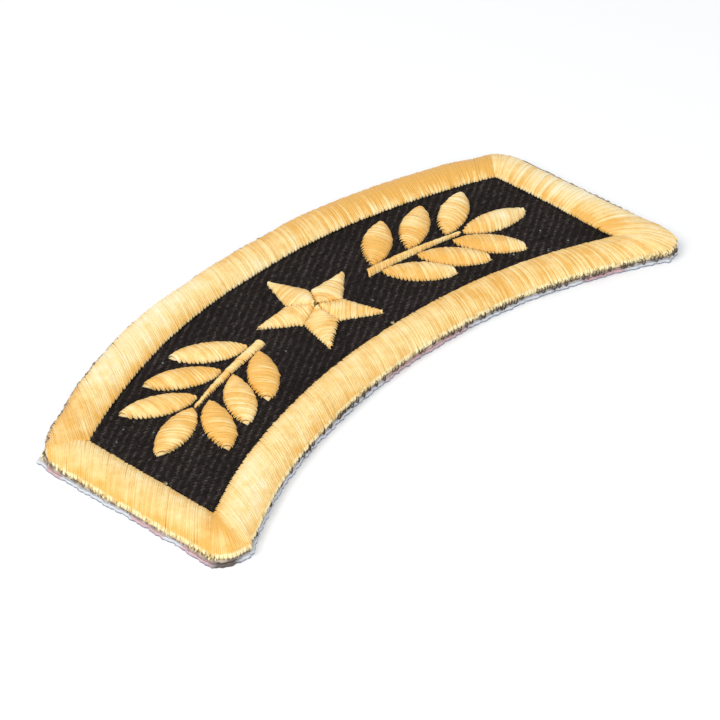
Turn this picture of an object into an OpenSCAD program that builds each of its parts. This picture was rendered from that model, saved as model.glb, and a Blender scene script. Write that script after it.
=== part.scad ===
// Rocker patch: a curved cloth badge with a satin stitched frame and figures, lying flat on its back.
// +X is the way the patch reads, +Y the outside of its curve, +Z up from the underside of the backing.
// The origin is the middle of the patch's footprint, on the underside.

/* [Patch] */
// Overall width across the cut ends
patch_w = 76.2; // [74:0.1:100]
// Radius that the field's upper and lower curves share
arc_r = 74.9; // [68:0.1:120]
// Height of the field, measured straight up the patch
field_h = 17.3; // [16.5:0.1:26]
// Width of the satin border
border_w = 5.2; // [4:0.1:6.5]
// Cut edge that shows beyond the border's stitches
cut_lip = 0.2; // [0.1:0.05:0.4]
// Corner radius at the top of each end
top_corner_r = 4.8; // [2.5:0.1:6]
// Corner radius at the bottom of each end
low_corner_r = 2.6; // [1.5:0.1:4]

/* [Layers] */
// Thickness of the stiff white backing
backing_t = 0.4; // [0.3:0.05:1]
// Thickness of the black twill ground
ground_t = 1; // [1:0.1:3]
// Space left between one layer and the next
layer_gap = 0.05; // [0.03:0.01:0.1]

/* [Border] */
// Height of the border's crest above the twill
border_h = 0.85; // [0.5:0.05:1.5]
// Height at which the border's stitches turn down at each edge
border_side_h = 0.3; // [0.1:0.05:0.45]
// Radius left at the field's own corners
field_corner_r = 0.3; // [0.1:0.05:0.6]

/* [Star] */
// Radius of the star's points
star_r = 7.6; // [5:0.1:8]
// Radius of the notches between the points, as a share of the points' radius
star_notch = 0.44; // [0.38:0.01:0.5]
// Height of the star's middle above the twill
star_h = 0.85; // [0.5:0.05:1.5]

/* [Sprigs] */
// Distance along the curve from the star's middle to the foot of each stem
stem_start = 8.8; // [8.4:0.1:9.2]
// Length of the stem beyond the last pair of leaves
stem_tail = 2.5; // [2.4:0.1:3]
// Width of the stem
stem_w = 1.1; // [0.6:0.1:1.3]
// Distance along the curve to the first pair of leaves
first_pair = 9.4; // [9.4:0.1:10]
// Distance between one pair of leaves and the next
pair_pitch = 5.05; // [5:0.05:5.3]
// Angle between a leaf and the stem
leaf_angle = 43; // [42:1:46]
// Length of a leaf
leaf_l = 8.6; // [6:0.1:9]
// Width of a leaf at its middle
leaf_w = 3.4; // [2:0.1:3.4]
// Height of a leaf's crest above the twill
leaf_h = 0.75; // [0.4:0.05:1.2]

/* [Hidden] */
PAIRS = 3;
SIDES = [["left", -1], ["right", 1]];
// The leaves of one sprig: its name, which pair it belongs to, and the side of the stem that it grows on
LEAVES = [
    for (pair = [1:PAIRS])
        for (place = [["upper", 1], ["lower", -1]])
            [str(place[0], "_leaf_", pair), pair, place[1]]
];

GOLD = [0.93, 0.72, 0.36];
BLACK = [0.12, 0.1, 0.1];
WHITE = [0.92, 0.92, 0.94];

// Angle step of the true arcs in the cut layers
$fn = 180;
// Stitched solids: steps along an arc of the border, round one of its corners, and across its width
ARC_STEPS = 44;
CORNER_STEPS = 8;
ACROSS_STEPS = 8;
LEAF_STEPS = 12;
STEM_STEPS = 14;
// Half width left at the tips of the leaves and stems, as a share of the widest half width
TIP_SHARE = 0.08;
// Height at which the stitches of a star, stem or leaf turn down at its edge
FIGURE_SIDE_H = 0.2;
// Power that rounds a leaf: 1 is a plain parabola, less is fuller
LEAF_ROUNDNESS = 0.75;
// Space between a leaf's foot and the stem
FOOT_GAP = 0.2;

half_w = patch_w / 2;
rim_w = border_w + cut_lip;
border_half_w = half_w - cut_lip;
field_half_w = half_w - rim_w;

// Distance from an arc's centre line to the middle of a corner circle that meets the patch's straight end
function corner_rise(half, distance, corner_r) = sqrt(distance * distance - (half - corner_r) * (half - corner_r));

// The footprint reaches from the lowest point of the lower corners to the crown of the upper arc
low_reach = corner_rise(half_w, arc_r - rim_w + low_corner_r, low_corner_r) - low_corner_r - field_h;
crown_y = (arc_r + rim_w - low_reach) / 2;
upper_y = crown_y - arc_r - rim_w;
lower_y = upper_y - field_h;
middle_y = upper_y - field_h / 2;

// Distance along the curve to the tip of each stem
stem_end = first_pair + (PAIRS - 1) * pair_pitch + stem_tail;

ground_z = backing_t + layer_gap;
stitch_z = ground_z + ground_t + layer_gap;

function direction(angle) = [cos(angle), sin(angle)];
function blend(a, b, share) = a + (b - a) * share;
function flip_x(p) = [-p[0], p[1]];
function reverse(list) = [for (i = [len(list) - 1:-1:0]) list[i]];

// Cut layers

// One corner's waste: what lies outside the corner circle, between its two tangent points
module corner_waste(centre, corner_r, end_angle) {
    reach = 4 * corner_r;
    difference() {
        polygon([
            centre,
            centre + reach * direction(0),
            centre + reach * (direction(0) + direction(end_angle)),
            centre + reach * direction(end_angle)
        ]);
        translate(centre) circle(r = corner_r);
    }
}

// The patch's outline: two arcs of a band that is as high all along, two straight ends, four rounded corners
module patch_outline() {
    outer_r = arc_r + rim_w;
    inner_r = arc_r - rim_w;
    top_centre = [half_w - top_corner_r, upper_y + corner_rise(half_w, outer_r - top_corner_r, top_corner_r)];
    low_centre = [half_w - low_corner_r, lower_y + corner_rise(half_w, inner_r + low_corner_r, low_corner_r)];
    top_angle = atan2(top_centre[1] - upper_y, top_centre[0]);
    low_angle = atan2(lower_y - low_centre[1], -low_centre[0]);
    difference() {
        intersection() {
            translate([0, upper_y]) circle(r = outer_r);
            translate([-half_w, -arc_r]) square([patch_w, 2 * arc_r]);
        }
        translate([0, lower_y]) circle(r = inner_r);
        for (side = [0, 1]) mirror([side, 0]) {
            corner_waste(top_centre, top_corner_r, top_angle);
            corner_waste(low_centre, low_corner_r, low_angle);
        }
    }
}

module backing() {
    color(WHITE) linear_extrude(backing_t) patch_outline();
}

module twill_ground() {
    color(BLACK) translate([0, 0, ground_z]) linear_extrude(ground_t) patch_outline();
}

// Stitched solids, each one a row of cross sections joined by a skin

// Height of a satin stitch across its column, from 0 at one edge to 1 at the other
function satin(share, side_h, crest_h) = side_h + (crest_h - side_h) * (1 - pow(abs(2 * share - 1), 2.4));

// A cross section between two ground points, from the foot at one edge over the crest to the foot at the other
function section(inner, outer, side_h, crest_h, steps) = [
    [inner[0], inner[1], 0],
    for (i = [0:steps])
        let (share = (1 - cos(180 * i / steps)) / 2, p = blend(inner, outer, share))
            [p[0], p[1], satin(share, side_h, crest_h)],
    [outer[0], outer[1], 0]
];

// Skin over a list of sections of equal length, closed into a ring or capped at its two ends
module skin(sections, ring) {
    n = len(sections[0]);
    count = len(sections);
    points = [for (s = sections) each s];
    spans = ring ? count : count - 1;
    walls = [
        for (i = [0:spans - 1], j = [0:n - 1])
            let (
                a = i * n + j,
                b = i * n + (j + 1) % n,
                c = ((i + 1) % count) * n + (j + 1) % n,
                d = ((i + 1) % count) * n + j
            )
            each [[a, b, c], [a, c, d]]
    ];
    caps = ring ? [] : [
        [for (j = [n - 1:-1:0]) j],
        [for (j = [0:n - 1]) (count - 1) * n + j]
    ];
    polyhedron(points = points, faces = concat(walls, caps));
}

// Border: a corner's circle at the field's edge and at the border's outer edge, and the angle where each ends
function arc_corner(half, centre_y, distance, corner_r) = [half - corner_r, centre_y + corner_rise(half, distance, corner_r)];

// Lines across the right half of the border, each from the field's edge to the border's edge
function corner_lines(inner, inner_angle, outer, outer_r, outer_angle) = [
    for (i = [0:CORNER_STEPS])
        let (share = i / CORNER_STEPS)
            [
                inner + field_corner_r * direction(inner_angle * share),
                outer + outer_r * direction(outer_angle * share)
            ]
];

// Lines across an arc of the border, from the right corner to the middle
function arc_lines(centre_y, inner_r, outer_r, inner_start, outer_start, middle) = [
    for (i = [1:ARC_STEPS / 2])
        let (share = 2 * i / ARC_STEPS)
            [
                [0, centre_y] + inner_r * direction(blend(inner_start, middle, share)),
                [0, centre_y] + outer_r * direction(blend(outer_start, middle, share))
            ]
];

function border_lines() =
    let (
        top_r = top_corner_r - cut_lip,
        low_r = low_corner_r - cut_lip,
        outer_r = arc_r + border_w,
        inner_r = arc_r - border_w,
        top_in = arc_corner(field_half_w, upper_y, arc_r - field_corner_r, field_corner_r),
        top_out = arc_corner(border_half_w, upper_y, outer_r - top_r, top_r),
        low_in = arc_corner(field_half_w, lower_y, arc_r + field_corner_r, field_corner_r),
        low_out = arc_corner(border_half_w, lower_y, inner_r + low_r, low_r),
        top_in_angle = atan2(top_in[1] - upper_y, top_in[0]),
        top_out_angle = atan2(top_out[1] - upper_y, top_out[0]),
        low_in_angle = atan2(lower_y - low_in[1], -low_in[0]),
        low_out_angle = atan2(lower_y - low_out[1], -low_out[0]),
        upper = concat(
            corner_lines(top_in, top_in_angle, top_out, top_r, top_out_angle),
            arc_lines(upper_y, arc_r, outer_r, top_in_angle, top_out_angle, 90)
        ),
        lower = concat(
            corner_lines(low_in, low_in_angle, low_out, low_r, low_out_angle),
            arc_lines(lower_y, arc_r, inner_r, low_in_angle + 180, low_out_angle + 180, 90)
        ),
        right = concat(reverse(lower), upper),
        left = [for (line = reverse(right)) [flip_x(line[0]), flip_x(line[1])]]
    )
    // The lines at the two middles are shared by both halves, so the left half leaves its own out
    concat(right, [for (i = [1:len(left) - 2]) left[i]]);

module satin_border() {
    sections = [
        for (line = border_lines())
            section(line[0], line[1], border_side_h, border_h, ACROSS_STEPS)
    ];
    color(GOLD) translate([0, 0, stitch_z]) skin(sections, true);
}

// Star: five points whose ridges meet in the middle
module star() {
    rim = [for (i = [0:9]) (i % 2 == 0 ? star_r : star_r * star_notch) * direction(90 + 36 * i)];
    points = concat(
        [[0, 0, star_h], [0, 0, 0]],
        [for (p = rim) [p[0], p[1], FIGURE_SIDE_H]],
        [for (p = rim) [p[0], p[1], 0]]
    );
    faces = [
        for (i = [0:9])
            let (j = (i + 1) % 10)
            each [
                [0, 2 + j, 2 + i],
                [1, 12 + i, 12 + j],
                [2 + i, 2 + j, 12 + j],
                [2 + i, 12 + j, 12 + i]
            ]
    ];
    // The points reach further up than down, so the star sits a little low to look centred in the field
    sink = star_r * (1 - cos(36)) / 2;
    color(GOLD)
        translate([0, middle_y + arc_r - sink, stitch_z])
            polyhedron(points = points, faces = faces);
}

// Sprigs

// A place on the field's middle curve, at a distance along it to the right of the star
module on_curve(distance) {
    angle = distance / arc_r * 180 / PI;
    translate([0, middle_y]) rotate(-angle) translate([0, arc_r, stitch_z]) children();
}

// A leaf along +X from the origin: its half width is a parabola that closes at both ends, made rounder by a power
module satin_leaf() {
    sections = [
        for (i = [0:LEAF_STEPS])
            let (
                along = (1 - cos(180 * i / LEAF_STEPS)) / 2,
                fullness = max(TIP_SHARE, pow(4 * along * (1 - along), LEAF_ROUNDNESS)),
                half = leaf_w / 2 * fullness,
                crest = blend(FIGURE_SIDE_H, leaf_h, sqrt(fullness))
            )
            section([leaf_l * along, half], [leaf_l * along, -half], FIGURE_SIDE_H, crest, ACROSS_STEPS)
    ];
    skin(sections, false);
}

// A stem along the field's middle curve, full at its foot and drawn to a point at its tip
module satin_stem() {
    sections = [
        for (i = [0:STEM_STEPS])
            let (
                along = i / STEM_STEPS,
                angle = 90 - blend(stem_start, stem_end, along) / arc_r * 180 / PI,
                half = stem_w / 2 * max(TIP_SHARE, 1 - along * along),
                centre = [0, middle_y]
            )
            section(
                centre + (arc_r + half) * direction(angle),
                centre + (arc_r - half) * direction(angle),
                FIGURE_SIDE_H,
                blend(FIGURE_SIDE_H, leaf_h, 0.7),
                ACROSS_STEPS
            )
    ];
    translate([0, 0, stitch_z]) skin(sections, false);
}

module sprig_side(sign) {
    color(GOLD) mirror([sign < 0 ? 1 : 0, 0, 0]) children();
}

module stem(sign) {
    sprig_side(sign) satin_stem();
}

// The leaf that carries the stem's line on
module tip_leaf(sign) {
    sprig_side(sign) on_curve(stem_end + FOOT_GAP) satin_leaf();
}

// A leaf of one pair, above or below the stem
module pair_leaf(sign, pair, place) {
    foot = (stem_w / 2 + FOOT_GAP) / sin(leaf_angle);
    sprig_side(sign)
        on_curve(first_pair + (pair - 1) * pair_pitch)
            rotate(place * leaf_angle)
                translate([foot, 0, 0])
                    satin_leaf();
}

backing();
twill_ground();
satin_border();
star();
for (side = SIDES) {
    stem(side[1]);
    tip_leaf(side[1]);
    for (leaf = LEAVES)
        pair_leaf(side[1], leaf[1], leaf[2]);
}
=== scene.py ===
"""A curved cloth rocker patch: white backing, black twill and golden satin stitches.

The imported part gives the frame. Every solid of it is dressed by a cloth or by real stitches: each thread is
a small closed tube that rises out of the twill, crosses its figure and goes back down. Sizes are in metres,
except where a table or a name says otherwise.
"""
import math

import bpy
import numpy as np
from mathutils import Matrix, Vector


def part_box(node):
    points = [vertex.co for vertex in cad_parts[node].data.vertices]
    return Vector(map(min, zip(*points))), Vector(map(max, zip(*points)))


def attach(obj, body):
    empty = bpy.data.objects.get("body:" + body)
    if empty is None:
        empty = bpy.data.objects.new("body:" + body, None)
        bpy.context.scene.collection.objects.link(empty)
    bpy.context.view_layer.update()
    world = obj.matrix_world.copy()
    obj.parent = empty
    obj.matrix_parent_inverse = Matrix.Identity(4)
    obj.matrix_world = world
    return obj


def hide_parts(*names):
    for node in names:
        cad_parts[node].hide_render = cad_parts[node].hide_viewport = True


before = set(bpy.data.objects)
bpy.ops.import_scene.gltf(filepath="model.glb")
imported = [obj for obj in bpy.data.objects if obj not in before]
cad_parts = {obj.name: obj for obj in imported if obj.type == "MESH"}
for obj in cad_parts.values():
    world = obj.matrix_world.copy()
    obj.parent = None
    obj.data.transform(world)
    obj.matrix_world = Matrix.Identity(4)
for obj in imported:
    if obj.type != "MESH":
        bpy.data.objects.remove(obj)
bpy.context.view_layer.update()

MM = 0.001

# Driving sizes of the patch, the same as the part's
ARC_R = 74.9 * MM
FIELD_H = 17.3 * MM
BORDER_W = 5.2 * MM
CUT_LIP = 0.2 * MM
TOP_CORNER_R = 4.8 * MM
LOW_CORNER_R = 2.6 * MM
FIELD_CORNER_R = 0.3 * MM
STAR_R = 7.6 * MM
STAR_NOTCH = 0.44
STEM_START = 8.8 * MM
STEM_TAIL = 2.5 * MM
STEM_W = 1.1 * MM
FIRST_PAIR = 9.4 * MM
PAIR_PITCH = 5.05 * MM
PAIRS = 3
LEAF_ANGLE = math.radians(43)
LEAF_L = 8.6 * MM
LEAF_W = 3.4 * MM
FOOT_GAP = 0.2 * MM

# Camera: where the photograph was taken from, about the middle of the picture
CAMERA_TARGET = Vector((-3.775 * MM, -5.763 * MM, 1.45 * MM))
CAMERA_DISTANCE = 346.98 * MM
CAMERA_AZIMUTH = math.radians(-48.48)
CAMERA_HEIGHT = math.radians(36.80)
CAMERA_LENS_MM = 162.1
SENSOR_MM = 36

# Studio: soft square lights that face the patch, an even sky and a floor
LIGHTS = [
    # name, place, size, power, colour
    ("key", (-0.30, 0.02, 0.34), 0.30, 1.25, (1.0, 0.99, 0.97)),
    ("fill", (-0.25, -0.60, 0.60), 0.8, 2.6, (0.98, 0.99, 1.0)),
]
SKY_COLOUR = (0.95, 0.97, 1.0, 1)
SKY_STRENGTH = 0.65
FLOOR_COLOUR = (0.90, 0.90, 0.90, 1)
FLOOR_HALF = 2.0
FLOOR_DROP = 0.01 * MM

# Weave of the twill: warp yarns run along the patch, three over and one under
WARP_PITCH = 0.235 * MM
WEFT_PITCH = 0.438 * MM
TWILL_REPEAT = 4
FLOAT_SPAN = 3
RIB_DEPTH = 0.08 * MM
STITCH_PULL = 0.10 * MM
PULL_REACH = 0.35 * MM
PRESS_REACH = 1.3 * MM
FRAY_REACH = 0.9 * MM
SWAY_RISE = 0.03 * MM

# Stitches: the pitch is that of the needle's holes, and two threads meet in each hole
BORDER_PITCH = 0.42 * MM
FIGURE_PITCH = 0.40 * MM
NEEDLE_OUT = 0.30 * MM
NEEDLE_SCATTER = 0.02 * MM
THREAD_ROOT = 0.12 * MM
THREAD_REST = 0.04 * MM
CREST_DROP = 0.05 * MM
THREAD_WIDTH = 0.35 * MM
THREAD_THICK = 0.13 * MM
THREAD_SIDES = 6
SHOULDER = 0.35 * MM
SHOULDER_RISE = 0.4
HOLE_SPREAD = 0.15
SHADE_REACH = 1.5 * MM
FURTHEST_EDGE = 16 * MM
HALVINGS = 30

# How much the threads differ from each other
END_SLACK = 0.035 * MM
ENTRY_SLACK = 0.15 * MM
BOW = 0.022 * MM
SNAKE = 0.012 * MM
WAVE_RISE = 0.013 * MM
WAVE_LENGTH = 1.8 * MM
RISE_SCATTER = 0.008 * MM
BORDER_DOME = 2.1
FIGURE_DOME = 2.3
LEAF_SLOPE = 0.42

# Padding under the stitches: how far inside them it ends, how low it may get, and its tones
PADDING_IN = 0.15 * MM
PADDING_LEAST = 0.02 * MM
BORDER_PADDING_TONE = 0.45
FIGURE_PADDING_TONE = 0.3

# How far the cut is pressed below the cloth's face, on the near sides and on the far ones
NEAR_PRESS = 0.58 * MM
FAR_PRESS = 0.16 * MM

# The cut's waves in plane, the same for both cloths
CUT_SEED = 41
CUT_RUFFLE = 0.20 * MM
RUFFLE_REACH = 0.8 * MM

# Colours, linear
GOLD_PALE = (0.955, 0.84, 0.55, 1)
GOLD_MID = (0.925, 0.67, 0.275, 1)
GOLD_DEEP = (0.79, 0.42, 0.07, 1)
# Painted highlight and painted shade where the golden threads go down into the cloth
PAINTED_HIGHLIGHT_END = (0.95, 0.83, 0.47, 1)
PAINTED_SHADE_END = (0.66, 0.46, 0.16, 1)
# Painted shade in the twill's pits and painted light on its float crowns
TWILL_PIT_SHADE = (0.0074, 0.0054, 0.0046, 1)
TWILL_CROWN_LIGHT = (0.092, 0.075, 0.069, 1)
TWILL_DUST = (0.20, 0.19, 0.20, 1)
CUT_BROWN = (0.23, 0.18, 0.145, 1)
CUT_CREAM = (0.52, 0.44, 0.33, 1)
BACKING_GREY = (0.50, 0.52, 0.56, 1)
BACKING_WHITE = (0.70, 0.71, 0.73, 1)
BACKING_PINK = (0.57, 0.37, 0.38, 1)
# Painted contact shadow at the backing's foot, also the colour of its dust specks
BACKING_SHADE_AND_DUST = (0.17, 0.20, 0.27, 1)
BACKING_SOIL = (0.075, 0.052, 0.041, 1)
YARNS = {
    # name: pale, middle and deep
    "cream_yarn": ((0.90, 0.80, 0.48, 1), (0.76, 0.63, 0.33, 1), (0.46, 0.35, 0.16, 1)),
    "dark_yarn": ((0.43, 0.34, 0.25, 1), (0.24, 0.17, 0.12, 1), (0.10, 0.068, 0.046, 1)),
    "pale_lint": ((0.46, 0.50, 0.54, 1), (0.27, 0.30, 0.34, 1), (0.13, 0.145, 0.165, 1)),
}

# Where the backing is soiled brown, at the bottom left corner
SOILED_CORNER = (-36.7 * MM, -17.1 * MM, 0.1 * MM)

# Stretches of the cut where the backing is tinted pink, in millimetres
PINK_PLACES = [
    # x, y, reach
    (-38.1, 6.0, 1.2), (-38.1, -7.4, 2.3), (-38.1, -14.2, 2.3), (3.2, -9.1, 6.6), (27.3, -14.5, 2.7),
    (38.1, 2.0, 3.0), (20.0, 15.8, 3.5), (-12.0, 17.9, 4.5),
]

# Specks of lint on the twill and cream fluff on the frame's inner edge: x and y in millimetres
LINT_PLACES = [
    (-29.2, 4.6), (-31.2, 3.6), (-27.5, 1.9), (-24.4, -2.3), (28.0, -4.9), (28.7, -8.5), (16.9, 8.6),
    (-18.2, 9.6), (5.3, 0.4), (-7.9, 1.2), (22.3, -5.7), (-13.2, -1.8), (25.8, -7.9), (25.5, -8.1),
]
TUFT_PLACES = [(-32.77, -5.04), (3.57, -4.09), (-30.9, -11.9)]

# Where the real patch strays from its ideal outline, in millimetres
STRAY_PULLS = [
    # x, y, pull x, pull y, reach
    (-35.2, 10.6, 0.15, -0.32, 2.0), (-31.3, 12.3, 0.0, -0.45, 2.6), (-16.3, 17.0, -0.05, 0.20, 5.0),
    (0.0, 18.7, 0.0, -0.15, 8.0), (21.0, 15.5, 0.0, -0.18, 7.0), (34.4, 10.6, 0.0, -0.50, 2.6),
    (37.4, 8.7, 0.10, 0.05, 3.5), (32.7, 4.5, 0.15, 0.0, 5.0), (32.7, -10.0, -0.45, 0.0, 5.0),
    (36.9, -18.0, -0.20, 0.20, 3.0), (38.0, -16.2, -0.35, 0.0, 1.4), (16.3, -11.1, 0.0, 0.20, 8.0),
    (-22.9, -13.0, 0.05, 0.22, 7.0), (-36.9, -18.0, 0.27, 0.42, 3.0), (-38.1, -13.5, 0.22, 0.0, 3.5),
    (-38.1, -6.0, 0.12, 0.0, 4.0), (-38.1, 3.0, 0.10, 0.0, 4.0), (-36.2, 9.6, 0.24, -0.24, 1.0),
    (-6.5, 18.4, 0.0, -0.18, 2.5), (6.5, 18.4, 0.0, -0.15, 2.5),
]

# The stitches end further inside the cut at the right end and at the top left corner
STITCH_PULLS = [(38.6, y, -0.42, 0.0, 3.5) for y in (8.0, 3.0, -2.0, -7.0, -12.0)] \
    + [(-38.0, 7.4, 0.08, 0.0, 1.5), (-32.0, 12.3, 0.0, -0.05, 3.0), (-9.0, 18.2, 0.0, 0.10, 6.0),
       (2.0, 18.6, 0.0, -0.15, 6.0), (28.0, 13.6, 0.0, -0.20, 3.5), (-24.0, 15.5, 0.0, -0.08, 6.0),
       (-34.8, -17.4, 0.05, 0.22, 1.8), (-36.6, 9.2, 0.14, -0.14, 0.8)]

# The cloths are cut closer along the left end, and the backing sticks out as a lip at both left corners
BACKING_LIPS = [(-37.6, 8.7, -0.42, 0.28, 0.7), (-33.6, -17.8, 0.10, -0.30, 1.1)]
CLOTH_PULLS = [
    (-36.9, 9.1, 0.22, -0.20, 0.8), (-38.1, -11.5, 0.18, 0.0, 2.0), (-38.1, -6.0, 0.28, 0.0, 3.5),
    (-38.1, 2.5, 0.12, 0.0, 3.5), (-37.9, -16.2, -0.05, -0.05, 0.9), (-36.0, -18.1, 0.08, 0.20, 1.5),
]

# Heading of the border's stitches, from the field outwards. Stop 0 is the field's top left corner, 1 the top
# right, 2 the bottom right, 3 the bottom left and 4 the top left again. Stops under 0 and over 4 run out
# along the mitre of the top left corner, where the stitching begins and ends.
STITCH_TURN = [
    # stop, heading in degrees
    (-1.00, 57), (0.00, 57), (0.25, 62), (0.50, 67), (0.75, 66), (0.88, 62), (0.95, 53), (1.00, 42),
    (1.00, 24), (1.10, 12), (1.35, 6), (1.55, 0), (1.70, -14), (1.84, -34), (1.94, -56), (2.00, -74),
    (2.00, -88), (2.03, -97), (2.08, -106), (2.17, -113), (2.40, -117), (2.75, -117), (2.95, -114),
    (3.00, -112), (3.00, -138), (3.20, -143), (3.60, -143), (4.00, -140), (5.00, -140),
]
LEFT_MITRE_REACH = (-5.4 * MM, 2.4 * MM)

# Painted light and sheen on the border's threads: how much paler or deeper they are painted from stretch
# to stretch, and how much they differ there
STITCH_PAINTED_LIGHT_AND_TONE = [
    # stop, painted light shift at the inner end and at the outer one, range of tones, painted highlight at
    # the tips, painted shade by the holes
    (-1.00, -0.8, -0.8, 0.6, 0.2, -0.4), (0.00, -0.6, -0.9, 0.6, 0.5, -0.8),
    (0.08, -0.6, 0.8, 0.7, 1.0, -1.2), (0.30, -0.5, 1.4, 0.8, 1.0, -0.9), (0.50, 0.2, -0.8, 1.0, 0.7, -0.2),
    (0.65, -0.4, -1.7, 1.2, 0.6, 0.0), (0.80, -0.8, -3.6, 2.0, 0.6, 0.2), (0.98, -0.8, -3.4, 1.4, 0.4, 0.2),
    (1.00, -0.4, 0.4, 1.2, 0.8, -0.6), (1.20, 0.0, 1.1, 1.8, 1.4, -0.8), (1.60, -0.9, 1.9, 1.6, 1.6, -0.9),
    (1.84, -0.9, 1.0, 1.6, 1.3, -0.8), (1.96, -0.9, 0.2, 1.6, 1.0, -0.6),
    (2.00, -0.4, -0.4, 1.3, -0.2, 0.1), (2.20, -1.3, -1.2, 1.4, -0.6, 0.4),
    (2.40, -0.6, -0.4, 0.8, -0.5, -0.3), (2.60, 0.0, -0.3, 0.6, -0.5, -0.7),
    (2.90, 0.8, 0.3, 0.5, -0.2, -0.9), (2.99, -0.4, -0.2, 0.5, -0.2, -1.0),
    (3.00, -2.2, -0.6, 0.5, -0.4, -0.8), (3.03, -0.2, -1.1, 0.5, -0.6, -0.8),
    (3.50, 0.3, -0.7, 0.45, -0.5, -1.0), (4.00, 0.1, -0.9, 0.45, -0.2, -0.9),
    (5.00, -0.2, -0.7, 0.45, 0.0, -0.5),
]

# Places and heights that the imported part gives
BACKING_LOW, BACKING_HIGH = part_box("backing")
CLOTH_LOW, CLOTH_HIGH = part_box("twill_ground")
HALF_W = CLOTH_HIGH.x
RIM_W = BORDER_W + CUT_LIP
UPPER_Y = CLOTH_HIGH.y - ARC_R - RIM_W
LOWER_Y = UPPER_Y - FIELD_H
MIDDLE_Y = UPPER_Y - FIELD_H / 2
CLOTH_TOP = CLOTH_HIGH.z
CLOTH_UNDER = CLOTH_LOW.z
CREST_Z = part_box("satin_border")[1].z
STAR_CENTRE = np.array([0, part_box("star")[1].y - STAR_R])
STEM_END = FIRST_PAIR + (PAIRS - 1) * PAIR_PITCH + STEM_TAIL


# Outlines

class Edge:
    """One arched edge as a height over x: a circle, then a fillet tangent to it and to the straight end.

    way is 1 for the top edge, whose fillets lie inside its circle, and -1 for the bottom one, where they lie
    outside.
    """

    def __init__(self, centre_y, radius, corner, half, way):
        self.centre_y = centre_y
        self.radius = radius
        self.corner = corner
        self.half = half
        self.way = way
        self.fillet_x = half - corner
        self.fillet_y = centre_y + math.sqrt((radius - way * corner) ** 2 - self.fillet_x ** 2)

    def arc(self, x):
        """Height of the plain circle over x."""
        return self.centre_y + np.sqrt(self.radius ** 2 - x ** 2)

    def __call__(self, x):
        side = np.minimum(np.abs(x), self.half)
        over = np.maximum(side - self.fillet_x, 0)
        fillet = self.fillet_y + self.way * np.sqrt(np.maximum(self.corner ** 2 - over ** 2, 0))
        tangent_x = self.fillet_x * self.radius / (self.radius - self.way * self.corner)
        return np.where(side < tangent_x, self.arc(side), fillet)


class Outline:
    """An arched band between a top and a low edge, with straight ends at x = half and -half."""

    def __init__(self, outset, top_corner, low_corner, top_trim=0.0, low_trim=0.0):
        """outset is how far the outline lies outside the field's edge, and the trims how much less."""
        self.half = HALF_W - RIM_W + outset
        self.top = Edge(UPPER_Y, ARC_R + outset - top_trim, top_corner, self.half, 1)
        self.low = Edge(LOWER_Y, ARC_R - outset + low_trim, low_corner, self.half, -1)

    def holds(self, points):
        """Whether each point lies inside the outline."""
        x, y = points[..., 0], points[..., 1]
        return (np.abs(x) < self.half) & (y < self.top(x)) & (y > self.low(x))

    def ring(self, each):
        """Points all round: along the top, down the right end, back along the bottom and up the left end."""
        t = (np.arange(each) + 0.5) / each
        high, low = self.top.fillet_y, self.low.fillet_y
        x = self.half * np.sin(np.pi * (t - 0.5))
        sides = [(x, self.top(x)), (np.full(each, self.half), high + (low - high) * t),
                 (-x, self.low(x)), (np.full(each, -self.half), low + (high - low) * t)]
        return np.concatenate([np.stack(side, axis=1) for side in sides])


def cut_edge(outset):
    """The cut outline, moved out by a small outset."""
    return Outline(RIM_W + outset, TOP_CORNER_R, LOW_CORNER_R, top_trim=0.15 * MM, low_trim=0.38 * MM)


def stitch_edge(outset):
    """The outer row of needle holes, moved out by a small outset."""
    return Outline(BORDER_W + outset, TOP_CORNER_R, LOW_CORNER_R, top_trim=0.36 * MM, low_trim=0.16 * MM)


NEEDLE_EDGE = Outline(NEEDLE_OUT, FIELD_CORNER_R, FIELD_CORNER_R, top_trim=0.08 * MM)
PADDING_EDGE = Outline(NEEDLE_OUT + 0.26 * MM, FIELD_CORNER_R, FIELD_CORNER_R, top_trim=0.08 * MM)


# Lines and surfaces

def wobble(place, seed, lengths, size):
    """A smooth random line: a sum of sines of the given wave lengths, each with its own seeded phase."""
    phases = np.random.default_rng(seed).uniform(0, 2 * np.pi, len(lengths))
    total = sum(np.sin(2 * np.pi * place / length + phase) for length, phase in zip(lengths, phases))
    return size * total / len(lengths)


def ripple(x, y, seed, length, waves=7):
    """A smooth random surface from -1 to 1: a mean of plane sine waves in seeded directions."""
    rng = np.random.default_rng(seed)
    total = 0
    for heading, phase, stretch in zip(rng.uniform(0, np.pi, waves), rng.uniform(0, 2 * np.pi, waves),
                                       rng.uniform(0.7, 1.5, waves)):
        along = x * np.cos(heading) + y * np.sin(heading)
        total = total + np.sin(2 * np.pi * along / (length * stretch) + phase)
    return total / math.sqrt(waves)


def smooth_step(share):
    """0 below 0, 1 above 1, and a soft S between them."""
    share = np.clip(share, 0, 1)
    return share * share * (3 - 2 * share)


def quarter_circle(share):
    """Height of a quarter circle that starts upright at 0 and ends level at 1."""
    return np.sqrt(1 - (1 - share) ** 2)


def dome_lift(shoulders, share, dome):
    """Height of a stitch from 0 to 1: rounded shoulders, and over them the dome 1 - |2 share - 1|^dome."""
    return SHOULDER_RISE * shoulders + (1 - SHOULDER_RISE) * (1 - np.abs(2 * share - 1) ** dome)


def spun(angle):
    """Unit vectors in plane at the given angles."""
    return np.stack([np.cos(angle), np.sin(angle)], axis=-1)


def unit(vectors):
    """The vectors brought to length 1."""
    return vectors / np.linalg.norm(vectors, axis=-1, keepdims=True)


def left_of(vectors):
    """Vectors in plane turned a quarter turn to the left."""
    return np.stack([-vectors[..., 1], vectors[..., 0]], axis=-1)


def raised(plane, z):
    """Points in plane with a height added to each."""
    return np.concatenate([plane, z[..., None]], axis=-1)


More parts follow.
